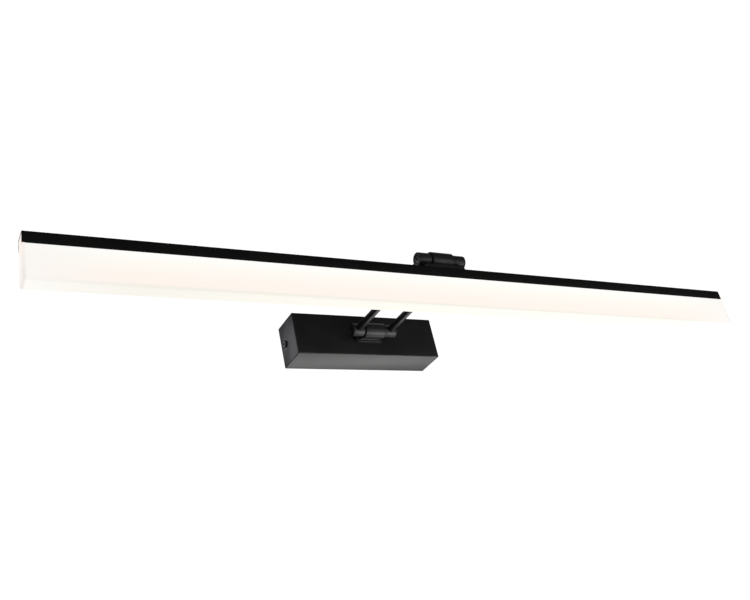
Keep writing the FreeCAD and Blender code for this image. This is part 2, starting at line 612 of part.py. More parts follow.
def make_hinge_base(node, reach, neck_width, base_length, base_width, stud, stud_bore, where, turn):
    """Plate, neck and barrel in one casting. Local frame: hinge axis along X, seat at z = -reach."""
    body = new_body(node.title().replace("_", ""), **where, turn=turn)
    seat = f"-({reach})"
    foot = sketch_on(body, node + "_foot", "XY_Plane", seat)
    draw_rectangle(foot, base_length, base_width)
    pad(body, foot, "base_wall")
    dress(body, "Fillet", node + "_corners", "base_corner", lambda edge: runs_along(edge, "Z"))
    face = f"base_wall - ({reach})"
    dress(body, "Chamfer", node + "_rim", "edge_chamfer", lambda edge: lies_at(edge, "Z", face))
    neck = sketch_on(body, node + "_neck", "YZ_Plane")
    draw_rectangle(neck, neck_width, reach, y=f"-({reach})/2")
    pad(body, neck, "barrel_length", middle=True)
    barrel = sketch_on(body, node + "_barrel", "YZ_Plane")
    draw_circle(barrel, "barrel_width")
    pad(body, barrel, "barrel_length", middle=True)
    end = "barrel_length/2"
    ends = [f"-{end}", end]
    dress(body, "Chamfer", node + "_barrel_rims", "edge_chamfer",
          lambda edge: edge.Curve.TypeId == "Part::GeomCircle" and any(lies_at(edge, "X", at) for at in ends))
    bore = sketch_on(body, node + "_bore", "YZ_Plane")
    draw_circle(bore, "axle_width + 2*running_gap")
    draw_circle(bore, "wire_channel", y="-wire_channel_offset")
    pocket(body, bore, "barrel_length", middle=True)
    thread = sketch_on(body, node + "_thread", "XY_Plane", seat)
    draw_circle(thread, stud)
    pocket(body, thread, "stud_depth", reverse=True)
    wire = sketch_on(body, node + "_wire", "XY_Plane", seat)
    draw_circle(wire, stud_bore)
    pocket(body, wire, f"({reach}) - wire_channel_offset + wire_channel/4", reverse=True)
    return body, seat


def make_stud(node, stud, bore, nut_width, nut_thick, wall, where, turn):
    """Hollow stud that clamps a hinge base to a wall, with its nut and washer.

    Local frame: +Z away from the hinge, origin on the seat between the base and the wall."""
    reach = f"stud_depth + ({wall}) + stud_washer_thick + ({nut_thick}) + stud_tip"
    name = node.title().replace("_", "")
    solid = cut(name + "Stud", cylinder(name + "StudOutside", stud, reach, z="-stud_depth"),
                cylinder(name + "StudBore", bore, reach, z="-stud_depth"))
    keep(place(solid, **where, turn=turn), node + "_stud")
    washer = cut(name + "Washer", cylinder(name + "WasherOutside", f"{stud} + 2*stud_washer_rim",
                                           "stud_washer_thick", z=wall),
                 cylinder(name + "WasherBore", stud, "stud_washer_thick", z=wall))
    keep(place(washer, **where, turn=turn), node + "_stud_washer")
    nut_start = f"({wall}) + stud_washer_thick"
    nut = cut(name + "Nut", hexagon(name + "NutBlank", nut_width, nut_thick, z=nut_start),
              cylinder(name + "NutBore", stud, nut_thick, z=nut_start))
    keep(place(nut, **where, turn=turn), node + "_stud_nut")


def make_friction_washers(node, y):
    """One washer on each end of a barrel."""
    washers = []
    for side, turn in ((LEFT, ALONG_MINUS_X), (RIGHT, ALONG_X)):
        washer = tube(f"{node}{side + 1}", "washer_width", "axle_width + 2*running_gap", "washer_thick")
        washers.append(place(washer, f"{side}*barrel_length/2", y, AXLE_Z, turn))
    keep(group(node, washers), node)


def make_lower_hinge():
    where = {"y": LOWER_Y, "z": AXLE_Z}
    body, seat = make_hinge_base("lower_hinge_base", "axle_reach", "lower_neck_width", "lower_base_length",
                                 "lower_base_width", "lower_stud", "lower_stud_bore", where, ALONG_MINUS_Y)
    holes = sketch_on(body, "LowerScrewHoles", "XY_Plane", seat)
    for side in (LEFT, RIGHT):
        draw_circle(holes, "base_thread", x=f"{side}*base_screw_spacing/2")
    pocket(body, holes, "base_screw_bite", reverse=True)
    keep(body, "lower_hinge_base")
    seat_place = {"y": "-box_depth", "z": AXLE_Z}
    make_stud("lower_hinge", "lower_stud", "lower_stud_bore", "lower_nut_width", "lower_nut_thick",
              "cover_wall", seat_place, ALONG_Y)
    make_friction_washers("lower_friction_washers", LOWER_Y)
    screws = []
    for side in (LEFT, RIGHT):
        screw = cross_screw(f"BaseScrew{side + 1}", "base_head", "base_head_height", "base_thread",
                            "cover_wall + base_screw_bite")
        screws.append(place(screw, f"{side}*base_screw_spacing/2", COVER_INSIDE, AXLE_Z, ALONG_MINUS_Y))
    keep(group("BaseScrews", screws), "hinge_base_screws")


def make_upper_hinge():
    where = {"y": UPPER_Y, "z": AXLE_Z}
    body, seat = make_hinge_base("upper_hinge_base", "axle_height", "upper_neck_width", "upper_base_length",
                                 "upper_base_width", "upper_stud", "upper_stud_bore", where, UPRIGHT)
    keep(body, "upper_hinge_base")
    seat_place = {"y": UPPER_Y, "z": BAR_TOP}
    make_stud("upper_hinge", "upper_stud", "upper_stud_bore", "upper_nut_width", "upper_nut_thick",
              "channel_top", seat_place, ALONG_MINUS_Z)
    make_friction_washers("upper_friction_washers", UPPER_Y)


# Arm


def make_knuckle(node, side, y, turn, has_head):
    """Knuckle that holds a rod. Local frame: +X away from the barrel, the rod towards -Y."""
    body = new_body(node.title().replace("_", ""), f"{side}*{KNUCKLE_START}", y, AXLE_Z, turn)
    outline = sketch_on(body, node + "_outline", "YZ_Plane")
    draw_circle(outline, "knuckle_width")
    pad(body, outline, KNUCKLE_LENGTH)
    dress(body, "Chamfer", node + "_rims", "edge_chamfer",
          lambda edge: lies_at(edge, "X", "0") or lies_at(edge, "X", KNUCKLE_LENGTH))
    chamber = sketch_on(body, node + "_chamber", "YZ_Plane")
    draw_circle(chamber, "chamber_width")
    pocket(body, chamber, "chamber_depth", reverse=True)
    socket = sketch_on(body, node + "_socket", "XZ_Plane", ROD_INSET)
    draw_circle(socket, "rod_width", x=f"{KNUCKLE_LENGTH}/2")
    pocket(body, socket, "knuckle_width", reverse=True)
    bore = sketch_on(body, node + "_bore", "YZ_Plane")
    draw_circle(bore, "axle_width")
    if has_head:
        pocket(body, bore, KNUCKLE_LENGTH, reverse=True)
        seat = sketch_on(body, node + "_seat", "YZ_Plane", KNUCKLE_LENGTH)
        draw_circle(seat, "axle_head + 2*hole_gap")
        pocket(body, seat, "axle_head_height + axle_head_recess")
    else:
        pocket(body, bore, f"{KNUCKLE_LENGTH} - axle_end_wall", reverse=True)
    keep(body, node)


def make_axle(node, y):
    """Socket-head axle: head in the left knuckle, tip in the right knuckle."""
    start = "(hinge_length/2 - axle_head_recess)"
    whole = f"({start} + hinge_length/2 - axle_end_wall)"
    name = node.title().replace("_", "")
    shank = cylinder(name + "Shank", "axle_width", whole)
    head = cylinder(name + "Head", "axle_head", "axle_head_height")
    socket = hexagon(name + "Socket", "axle_socket", "axle_socket_depth")
    axle = cut(name, fuse(name + "Blank", [shank, head]), socket)
    keep(place(axle, f"-{start}", y, AXLE_Z, ALONG_X), node)


def make_arm():
    """Knuckles, axles, rods and the wires in the rods."""
    for side, word, lower_turn, upper_turn in ((LEFT, "left", HALF_TURN_Y, HALF_TURN_Z),
                                               (RIGHT, "right", UPRIGHT, ALONG_MINUS_Z)):
        has_head = side == LEFT
        make_knuckle(f"lower_{word}_knuckle", side, LOWER_Y, lower_turn, has_head)
        make_knuckle(f"upper_{word}_knuckle", side, UPPER_Y, upper_turn, has_head)
        start = f"{LOWER_Y} - {ROD_INSET}"
        length = f"arm_length - 2*{ROD_INSET}"
        arm_rod = tube(f"{word}_rod_tube", "rod_width", "rod_bore", length)
        keep(place(arm_rod, f"{side}*{ROD_X}", start, AXLE_Z, ALONG_MINUS_Y), f"{word}_rod")
        wire = cylinder(f"{word}_wire", "rod_wire", length, f"{side}*{ROD_X}", start, AXLE_Z, ALONG_MINUS_Y)
        keep(wire, f"{word}_rod_wire")
    make_axle("lower_axle", LOWER_Y)
    make_axle("upper_axle", UPPER_Y)


# Lamp bar


def make_top_channel():
    """Inverted channel over the whole bar. Local frame: the origin is in the middle of its top."""
    body = new_body("TopChannel", y=UPPER_Y, z=BAR_TOP)
    outline = sketch_on(body, "ChannelOutline", "YZ_Plane")
    draw_rectangle(outline, "bar_depth", "lip_height", y="-lip_height/2")
    pad(body, outline, "bar_length", middle=True)
    dress(body, "Fillet", "ChannelEdges", "channel_round",
          lambda edge: runs_along(edge, "X") and lies_at(edge, "Z", "0"))
    hollow = sketch_on(body, "ChannelHollow", "YZ_Plane")
    draw_rectangle(hollow, CHANNEL_INSIDE, "lip_height", y="-channel_top - lip_height/2")
    pocket(body, hollow, "bar_length", middle=True)
    ribs = sketch_on(body, "ChannelRibs", "YZ_Plane")
    over = f"{RIB_TOP} - rib_height/2"
    under = f"{RIB_FOOT} + rib_height/2"
    overlap = "channel_wall/2"
    for side in (LEFT, RIGHT):
        for height in (over, under):
            draw_rectangle(ribs, f"rib_width + {overlap}", "rib_height",
                           x=f"{side}*({CHANNEL_INSIDE}/2 - rib_width/2 + {overlap}/2)", y=height)
    pad(body, ribs, "bar_length", middle=True)
    hole = sketch_on(body, "ChannelStudHole", "XY_Plane")
    draw_circle(hole, "upper_stud + 2*hole_gap")
    pocket(body, hole, "channel_top")
    keep(body, "top_channel")


def make_light_board():
    """Light board with a hole for the wires, and the chips under it."""
    width = "bar_depth - 2*channel_wall - 2*board_gap"
    length = f"{BODY_LENGTH} - 2*board_end_gap"
    strip = block("LightBoardStrip", length, width, "board_wall", y=UPPER_Y, z=f"{BOARD_TOP} - board_wall/2")
    hole = cylinder("LightBoardHole", "board_hole", "board_wall", y=UPPER_Y, z=f"{BOARD_TOP} - board_wall")
    keep(cut("LightBoard", strip, hole), "led_board")
    chips = []
    under = f"{BOARD_TOP} - board_wall - led_height/2"
    for number in range(round(size("led_count"))):
        x = f"({number} - (led_count - 1)/2)*led_pitch"
        chips.append(block(f"Led{number}", "led_length", "led_width", "led_height", x, UPPER_Y, under))
    keep(group("LedChips", chips), "led_chips")


def make_diffuser():
    """Hollow opal trough. Local frame: the origin is under the middle of the channel's lips."""
    body = new_body("Diffuser", y=UPPER_Y, z=DIFFUSER_TOP)
    drop = "(bar_height - lip_height)"
    outline = sketch_on(body, "DiffuserOutline", "YZ_Plane")
    draw_rectangle(outline, "bar_depth", drop, y=f"-{drop}/2")
    pad(body, outline, BODY_LENGTH, middle=True)
    dress(body, "Fillet", "DiffuserCorners", "diffuser_round",
          lambda edge: runs_along(edge, "X") and lies_at(edge, "Z", f"-{drop}"))
    tongue = sketch_on(body, "DiffuserTongue", "YZ_Plane")
    draw_rectangle(tongue, "bar_depth - 2*channel_wall - 2*tongue_gap", "tongue_height + diffuser_wall",
                   y="(tongue_height - diffuser_wall)/2")
    pad(body, tongue, BODY_LENGTH, middle=True)
    hollow = sketch_on(body, "DiffuserHollow", "YZ_Plane")
    draw_rectangle(hollow, "bar_depth - 2*diffuser_wall", f"{drop} - diffuser_wall + tongue_height",
                   y=f"(tongue_height + diffuser_wall - {drop})/2")
    pocket(body, hollow, BODY_LENGTH, middle=True)
    keep(body, "diffuser")


def make_end_caps():
    """Caps that close the diffuser's ends and reach up inside the channel, with notches for its ribs.

    Local frame: +X out of the bar, origin on the cap's inner face at the top of the bar."""
    face_height = "(bar_height - lip_height)"
    head_width = f"({CHANNEL_INSIDE} - 2*cap_gap)"
    head_height = "(lip_height + diffuser_wall - channel_top - cap_gap)"
    notch_width = "(rib_width + cap_gap)"
    notch_height = f"({RIB_TOP} - {RIB_FOOT} + 2*cap_gap)"
    plug_width = "(bar_depth - 2*diffuser_wall - 2*plug_gap)"
    plug_height = "(bar_height - lip_height - diffuser_wall - plug_gap)"
    plug_middle = f"-lip_height - {plug_height}/2"
    for side, word, turn in ((LEFT, "left", HALF_TURN_Z), (RIGHT, "right", UPRIGHT)):
        body = new_body(word.title() + "EndCap", f"{side}*{BODY_LENGTH}/2", UPPER_Y, BAR_TOP, turn)
        face = sketch_on(body, word + "_cap_face", "YZ_Plane")
        draw_rectangle(face, "bar_depth", face_height, y=f"-lip_height - {face_height}/2")
        pad(body, face, "cap_wall")
        dress(body, "Fillet", word + "_cap_corners", "diffuser_round",
              lambda edge: runs_along(edge, "X") and lies_at(edge, "Z", "-bar_height"))
        head = sketch_on(body, word + "_cap_head", "YZ_Plane")
        draw_rectangle(head, head_width, head_height, y=f"{head_height}/2 - lip_height - diffuser_wall")
        pad(body, head, "cap_wall")
        notches = sketch_on(body, word + "_cap_notches", "YZ_Plane")
        for edge_side in (LEFT, RIGHT):
            draw_rectangle(notches, notch_width, notch_height, x=f"{edge_side}*({head_width} - rib_width)/2",
                           y=f"({RIB_TOP} + {RIB_FOOT})/2")
        pocket(body, notches, "cap_wall", reverse=True)
        plug = sketch_on(body, word + "_cap_plug", "YZ_Plane")
        draw_rectangle(plug, plug_width, plug_height, y=plug_middle)
        pad(body, plug, "plug_depth", reverse=True)
        hollow = sketch_on(body, word + "_cap_hollow", "YZ_Plane")
        draw_rectangle(hollow, f"{plug_width} - 2*plug_wall", f"{plug_height} - 2*plug_wall", y=plug_middle)
        pocket(body, hollow, "plug_depth")
        keep(body, word + "_end_cap")


# Wires inside the box and the bar


def wire(name, diameter, corners):
    """Round wire along straight runs joined by tangent arcs. Each corner is three formulas."""
    points = [Vector(*[size(formula) for formula in corner]) for corner in corners]
    edges = []
    start = points[0]
    for before, corner, after in zip(points, points[1:], points[2:]):
        back, ahead = (before - corner).normalize(), (after - corner).normalize()
        shorter = min((before - corner).Length, (after - corner).Length)
        setback = ARC_SHARE*shorter
        turn = (corner - before).getAngle(after - corner)
        radius = setback/math.tan(turn/2)
        print(f"{name} bend radius {radius:.1f}")
        inward = (back + ahead).normalize()
        middle = corner + inward*(math.hypot(radius, setback) - radius)
        enter, leave = corner + back*setback, corner + ahead*setback
        edges.append(Part.LineSegment(start, enter).toShape())
        edges.append(Part.Arc(enter, middle, leave).toShape())
        start = leave
    edges.append(Part.LineSegment(start, points[-1]).toShape())
    path = Part.Wire(edges)
    ring = Part.Circle(points[0], points[1] - points[0], size(diameter)/2).toShape()
    solid = path.makePipeShell([Part.Wire([ring])], True, True)
    drawn = path.Length*ring.Length**2/(4*math.pi)
    if abs(solid.Volume/drawn - 1) > SWEEP_ERROR:
        raise ValueError(f"{name} sweep has the wrong volume")
    piece = doc.addObject("Part::Feature", name)
    piece.Shape = solid
    piece.Placement = Placement()
    return piece


def make_wires():
    """Supply wires from the terminals to the driver, lamp wires on to the lower stud, and the
    wires from the upper stud to the light board."""
    hole_x = "(driver_length/2 - driver_offset)"
    hole_y = f"({DRIVER_FLOOR} + driver_depth - 2*driver_wall - supply_wire)"
    pole_y = "(-plate_wall - terminal_depth/2)"
    inside_z = "(box_height/2 - cover_wall)"
    supply = []
    for side in (LEFT, RIGHT):
        apart = f"{side}*(supply_wire + wire_gap)/2"
        pole_x = f"(terminal_offset + ({side} - 1)*terminal_pitch/2)"
        over_z = f"({inside_z} - 2*supply_wire)"
        supply.append(wire(f"SupplyWire{side + 1}", "supply_wire", [
            (pole_x, pole_y, "terminal_bore"),
            (pole_x, pole_y, over_z),
            (f"{pole_x} - 2*terminal_pitch", f"{pole_y} - 2*supply_wire", over_z),
            (f"{hole_x} + 4*supply_wire", f"{hole_y} + {apart}", "supply_wire/2"),
            (f"{hole_x} - driver_wall", f"{hole_y} + {apart}", "supply_wire/2")]))
    keep(group("SupplyWires", supply), "supply_wires")
    lamp = []
    for side in (LEFT, RIGHT):
        apart = f"{side}*(lamp_wire + wire_gap)/2"
        lamp.append(wire(f"LampWire{side + 1}", "lamp_wire", [
            (f"{hole_x} - driver_wall", f"{hole_y} + {apart}", "-lamp_wire"),
            (apart, f"{hole_y} + {apart}", "-lamp_wire"),
            (apart, "-box_depth - stud_depth/2", AXLE_Z)]))
    keep(group("LampWires", lamp), "lamp_wires")
    board = []
    under = f"({BOARD_TOP} - board_wall - board_wire/2)"
    for side in (LEFT, RIGHT):
        apart = f"{side}*(board_wire + wire_gap)/2"
        board.append(wire(f"BoardWire{side + 1}", "board_wire", [
            (apart, UPPER_Y, f"{BAR_TOP} + stud_depth/2"),
            (apart, UPPER_Y, under),
            (f"{side}*(led_pitch/2 - led_length/2 - board_wire/4)", UPPER_Y, under)]))
    keep(group("BoardWires", board), "board_wires")


# Check and write


def write_subparts():
    doc.recompute()
    for item in doc.Objects:
        if "Invalid" in item.State or "Error" in item.State:
            raise ValueError(f"{item.Name} did not build: {item.State}")
    for piece in subparts:
        if piece.Shape.isNull() or not piece.Shape.isValid():
            raise ValueError(f"{piece.Label} has no valid shape")
    os.makedirs("parts", exist_ok=True)
    for piece in subparts:
        piece.Shape.exportStep(f"parts/{piece.Label}.step")
        print(f"{piece.Label}: {len(piece.Shape.Solids)} solid(s), {piece.Shape.Volume:.1f} mm3")


make_wall_plate()
make_cable_bush()
make_box_cover()
make_cover_screws()
make_driver()
make_terminal_block()
make_lower_hinge()
make_arm()
make_upper_hinge()
make_top_channel()
make_light_board()
make_diffuser()
make_end_caps()
make_wires()
write_subparts()
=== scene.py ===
import bpy
import bmesh
import json
import math
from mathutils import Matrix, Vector


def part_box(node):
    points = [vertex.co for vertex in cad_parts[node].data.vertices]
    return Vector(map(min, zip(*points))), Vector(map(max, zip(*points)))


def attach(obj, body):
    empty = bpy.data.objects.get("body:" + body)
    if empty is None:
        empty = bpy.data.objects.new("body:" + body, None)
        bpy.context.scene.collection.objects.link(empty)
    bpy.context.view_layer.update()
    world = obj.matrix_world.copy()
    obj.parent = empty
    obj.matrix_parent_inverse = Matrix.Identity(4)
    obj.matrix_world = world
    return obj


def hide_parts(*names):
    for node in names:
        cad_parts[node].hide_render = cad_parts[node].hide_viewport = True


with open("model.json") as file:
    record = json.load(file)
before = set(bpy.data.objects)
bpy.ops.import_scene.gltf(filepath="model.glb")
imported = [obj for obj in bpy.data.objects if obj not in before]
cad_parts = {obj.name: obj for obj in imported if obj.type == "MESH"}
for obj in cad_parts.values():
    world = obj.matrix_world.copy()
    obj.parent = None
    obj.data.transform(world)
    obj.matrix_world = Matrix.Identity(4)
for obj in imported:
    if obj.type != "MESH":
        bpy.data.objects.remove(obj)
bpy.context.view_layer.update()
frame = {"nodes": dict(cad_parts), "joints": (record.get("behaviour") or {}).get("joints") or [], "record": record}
nodes = frame["nodes"]
hinges = {joint["name"]: Vector(joint["pos_m"]) for joint in frame["joints"]}
alongX, alongY, alongZ = Vector((1, 0, 0)), Vector((0, 1, 0)), Vector((0, 0, 1))
near = 2e-5  # two places closer than this are the same
beyond = 0.01  # how far a cutting tool sticks out past what it cuts
print("frame loaded:", len(nodes), "nodes")

# Camera, floor and light. The light comes mostly from below, so the fixture's underside is
# the brightest of the black faces and its front stays dark.
cameraSet = {
    "location": (-0.4390, -0.7201, -0.3802),
    "rotation": (117.761, 11.811, -27.555),
    "lens": 42.88,
    "sensor": 36,
    "clip": (0.01, 50),
}

studioSet = {
    "floorHeight": -1.7,
    "floorSize": 12.0,
    "floorColour": (0.82, 0.82, 0.81),
    "floorGlow": 0.85,  # so that the paper stays pale without lighting the fixture
    "floorRough": 0.9,
    "domeRadius": 5.0,
    "domeGlow": 1.05,
    "ambient": (0.075, 0.075, 0.078),
}

lamps = {
    "underBack": {"at": (0.75, 0.95, -0.85), "size": (1.6, 1.2), "power": 10.0, "tint": (1.0, 0.99, 0.97)},
    "underRight": {"at": (0.65, -0.45, -1.0), "size": (0.8, 0.8), "power": 8.4, "tint": (1.0, 1.0, 0.99)},
    "frontRight": {"at": (0.85, -1.45, -0.50), "size": (0.4, 0.4), "power": 2.6, "tint": (1.0, 1.0, 0.99)},
    "backLeft": {"at": (-1.0, 1.1, 0.40), "size": (0.8, 0.8), "power": 3.2, "tint": (0.95, 0.94, 1.0)},
    "frontLeft": {"at": (-1.0, -1.0, 0.60), "size": (0.7, 0.7), "power": 1.6, "tint": (1.0, 0.97, 0.93)},
    "topBack": {"at": (0.70, 0.50, 1.30), "size": (1.0, 1.0), "power": 1.4, "tint": (1.0, 1.0, 1.0)},
}
lampTarget = Vector((0, -0.06, 0))


def addCamera():
    data = bpy.data.cameras.new("camera")
    data.lens = cameraSet["lens"]
    data.sensor_width = cameraSet["sensor"]
    data.clip_start, data.clip_end = cameraSet["clip"]
    camera = bpy.data.objects.new("camera", data)
    camera.location = cameraSet["location"]
    camera.rotation_euler = [math.radians(angle) for angle in cameraSet["rotation"]]
    bpy.context.scene.collection.objects.link(camera)
    bpy.context.scene.camera = camera


def addFloor():
    bpy.ops.object.select_all(action="DESELECT")
    height = studioSet["floorHeight"]
    bpy.ops.mesh.primitive_plane_add(size=studioSet["floorSize"], location=(0, 0, height))
    floor = bpy.context.object
    floor.name = "floor"
    paper = bpy.data.materials.new("palePaper")
    paper.use_nodes = True
    shader = paper.node_tree.nodes["Principled BSDF"]
    shader.inputs["Base Color"].default_value = (*studioSet["floorColour"], 1)
    shader.inputs["Roughness"].default_value = studioSet["floorRough"]
    shader.inputs["Emission Color"].default_value = (*studioSet["floorColour"], 1)
    shader.inputs["Emission Strength"].default_value = studioSet["floorGlow"]
    floor.data.materials.append(paper)
    floor.visible_diffuse = False
    floor.visible_glossy = False


def addBackdrop():
    bpy.ops.object.select_all(action="DESELECT")
    bpy.ops.mesh.primitive_uv_sphere_add(segments=48, ring_count=24, radius=studioSet["domeRadius"])
    dome = bpy.context.object
    dome.name = "whiteDome"
    glow = bpy.data.materials.new("whiteGlow")
    glow.use_nodes = True
    tree = glow.node_tree
    tree.nodes.remove(tree.nodes["Principled BSDF"])
    light = tree.nodes.new("ShaderNodeEmission")
    light.inputs["Strength"].default_value = studioSet["domeGlow"]
    tree.links.new(light.outputs[0], tree.nodes["Material Output"].inputs["Surface"])
    dome.data.materials.append(glow)
    dome.visible_diffuse = False
    dome.visible_glossy = False
    dome.visible_transmission = False
    dome.visible_shadow = False


def addLights():
    world = bpy.data.worlds.new("studio")
    world.use_nodes = True
    world.node_tree.nodes["Background"].inputs["Color"].default_value = (*studioSet["ambient"], 1)
    bpy.context.scene.world = world
    for name, lamp in lamps.items():
        data = bpy.data.lights.new(name, "AREA")
        data.shape = "RECTANGLE"
        data.size, data.size_y = lamp["size"]
        data.energy = lamp["power"]
        data.color = lamp["tint"]
        panel = bpy.data.objects.new(name, data)
        panel.location = lamp["at"]
        panel.rotation_euler = (lampTarget - Vector(lamp["at"])).to_track_quat("-Z", "Y").to_euler()
        panel.visible_camera = False
        bpy.context.scene.collection.objects.link(panel)


addCamera()
addFloor()
addBackdrop()
addLights()
bpy.context.scene.view_settings.view_transform = "Standard"
print("studio ready")


# Finishes. Each one starts from a plain shader and adds what its surface really shows.
def startFinish(name, rough, metal=0.0, gloss=0.5):
    finish = bpy.data.materials.new(name)
    finish.use_nodes = True
    shader = finish.node_tree.nodes["Principled BSDF"]
    shader.inputs["Roughness"].default_value = rough
    shader.inputs["Metallic"].default_value = metal
    shader.inputs["Specular IOR Level"].default_value = gloss
    return finish, finish.node_tree, shader


def addNode(tree, kind, **values):
    node = tree.nodes.new(kind)
    for name, value in values.items():
        setattr(node, name, value)
    return node


def objectPlace(tree, stretch=(1, 1, 1)):  # the piece's own place, stretched
    place = addNode(tree, "ShaderNodeTexCoord").outputs["Object"]
    mapping = addNode(tree, "ShaderNodeMapping")
    mapping.inputs["Scale"].default_value = stretch
    tree.links.new(place, mapping.inputs["Vector"])
    return mapping.outputs["Vector"]


def addNoise(tree, place, size, detail=2.0):  # noise whose lumps are about size metres across
    noise = addNode(tree, "ShaderNodeTexNoise")
    noise.inputs["Scale"].default_value = 1 / size
    noise.inputs["Detail"].default_value = detail
    tree.links.new(place, noise.inputs["Vector"])
    return noise.outputs["Fac"]


def spreadOut(tree, value, low, high, fromLow=0.3, fromHigh=0.7):
    spread = addNode(tree, "ShaderNodeMapRange")
    ends = {"From Min": fromLow, "From Max": fromHigh, "To Min": low, "To Max": high}
    for socket, number in ends.items():
        spread.inputs[socket].default_value = number
    tree.links.new(value, spread.inputs["Value"])
    return spread.outputs["Result"]


def mixTints(tree, value, first, second):
    mix = addNode(tree, "ShaderNodeMix", data_type="RGBA")
    mix.inputs["A"].default_value = (*first, 1)
    mix.inputs["B"].default_value = (*second, 1)
    tree.links.new(value, mix.inputs["Factor"])
    return mix.outputs["Result"]


def wander(tree, shader, value, skin):  # tint and roughness both follow the value
    tint = mixTints(tree, spreadOut(tree, value, 0, 1), skin["dark"], skin["light"])
    tree.links.new(tint, shader.inputs["Base Color"])
    tree.links.new(spreadOut(tree, value, *skin["rough"]), shader.inputs["Roughness"])


def addRamp(tree, value, stops):  # stops are places from 0 to 1, each with its tint
    ramp = addNode(tree, "ShaderNodeValToRGB")
    points = ramp.color_ramp.elements
    while len(points) < len(stops):
        points.new(0.5)
    for point, (place, tint) in zip(points, stops):
        point.position = place
        point.color = (*tint, 1)
    tree.links.new(value, ramp.inputs["Fac"])
    return ramp.outputs["Color"]


def addBump(tree, shader, height, depth):
    bump = addNode(tree, "ShaderNodeBump")
    bump.inputs["Distance"].default_value = depth
    tree.links.new(height, bump.inputs["Height"])
    tree.links.new(bump.outputs["Normal"], shader.inputs["Normal"])


coatSet = {
    # dark and light are the two tints the coat wanders between; grain is its orange peel's size
    "blackSheetCoat": {"dark": (0.010, 0.010, 0.011), "light": (0.016, 0.016, 0.018),
                       "rough": (0.34, 0.42), "grain": 0.0007, "depth": 0.000012,
                       "stretch": (1, 1, 1), "gloss": 0.5},
    "blackCastCoat": {"dark": (0.014, 0.014, 0.015), "light": (0.022, 0.022, 0.023),
                      "rough": (0.38, 0.48), "grain": 0.0005, "depth": 0.000014,
                      "stretch": (1, 1, 1), "gloss": 0.5},
    "blackRodCoat": {"dark": (0.012, 0.012, 0.013), "light": (0.018, 0.018, 0.019),
                     "rough": (0.33, 0.40), "grain": 0.0006, "depth": 0.000008,
                     "stretch": (1, 0.25, 1), "gloss": 0.5},
    "blackChannelCoat": {"dark": (0.005, 0.0045, 0.004), "light": (0.009, 0.0085, 0.008),
                         "rough": (0.42, 0.50), "grain": 0.0005, "depth": 0.000010,
                         "stretch": (0.08, 1, 1), "gloss": 0.3},
}
cloudSize = 0.03  # how far apart the coat's darker and lighter places lie


def makeCoat(name):
    coat = coatSet[name]
    finish, tree, shader = startFinish(name, coat["rough"][0], gloss=coat["gloss"])
    peel = addNoise(tree, objectPlace(tree, coat["stretch"]), coat["grain"], 3.0)
    cloud = addNoise(tree, objectPlace(tree), cloudSize, 3.0)
    wander(tree, shader, cloud, coat)
    addBump(tree, shader, peel, coat["depth"])
    return finish


opalSet = {
    # glow runs from the bottom of the bar up to its lip, as the light from the chips does
    "trough": {"base": (0.30, 0.29, 0.28), "strength": 0.95, "rough": (0.42, 0.52), "gloss": 0.25,
               "endFade": 0.07, "endMix": 0.75, "endGlow": (0.915, 0.895, 0.870),
               "glow": [(0.00, (0.792, 0.777, 0.705)), (0.03, (0.812, 0.797, 0.725)),
                        (0.09, (0.955, 0.865, 0.795)), (0.30, (0.960, 0.880, 0.810)),
                        (0.62, (0.965, 0.930, 0.865)), (0.88, (0.990, 0.975, 0.945)),
                        (1.00, (1.000, 0.990, 0.970))]},
    "cap": {"base": (0.30, 0.28, 0.27), "strength": 0.95, "rough": (0.42, 0.52), "gloss": 0.2,
            "glow": [(0.00, (0.80, 0.76, 0.73)), (0.35, (0.87, 0.82, 0.78)),
                     (0.75, (0.93, 0.84, 0.79)), (1.00, (0.88, 0.79, 0.75))]},
    "haze": 0.004, "hazeStretch": (0.3, 1, 1), "grain": 0.0012, "depth": 0.000006,
}


def makeOpal(name, node):
    opal = opalSet[name]
    low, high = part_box(node)
    finish, tree, shader = startFinish(f"opal{name.title()}", opal["rough"][0], gloss=opal["gloss"])
    shader.inputs["Base Color"].default_value = (*opal["base"], 1)
    shader.inputs["Emission Strength"].default_value = opal["strength"]
    axes = addNode(tree, "ShaderNodeSeparateXYZ")
    tree.links.new(objectPlace(tree), axes.inputs[0])
    glow = addRamp(tree, spreadOut(tree, axes.outputs["Z"], 0, 1, low.z, high.z), opal["glow"])
    if "endFade" in opal:  # the ends are dimmer, because the last chips stop short of them
        fromMiddle = addNode(tree, "ShaderNodeMath", operation="ABSOLUTE")
        tree.links.new(axes.outputs["X"], fromMiddle.inputs[0])
        fadeStart = high.x - opal["endFade"]
        end = spreadOut(tree, fromMiddle.outputs[0], 0, opal["endMix"], fadeStart, high.x)
        dim = addNode(tree, "ShaderNodeMix", data_type="RGBA")
        dim.inputs["B"].default_value = (*opal["endGlow"], 1)
        tree.links.new(glow, dim.inputs["A"])
        tree.links.new(end, dim.inputs["Factor"])
        glow = dim.outputs["Result"]
    tree.links.new(glow, shader.inputs["Emission Color"])
    haze = addNoise(tree, objectPlace(tree, opalSet["hazeStretch"]), opalSet["haze"], 3.0)
    tree.links.new(spreadOut(tree, haze, *opal["rough"]), shader.inputs["Roughness"])
    addBump(tree, shader, addNoise(tree, objectPlace(tree), opalSet["grain"]), opalSet["depth"])
    return finish


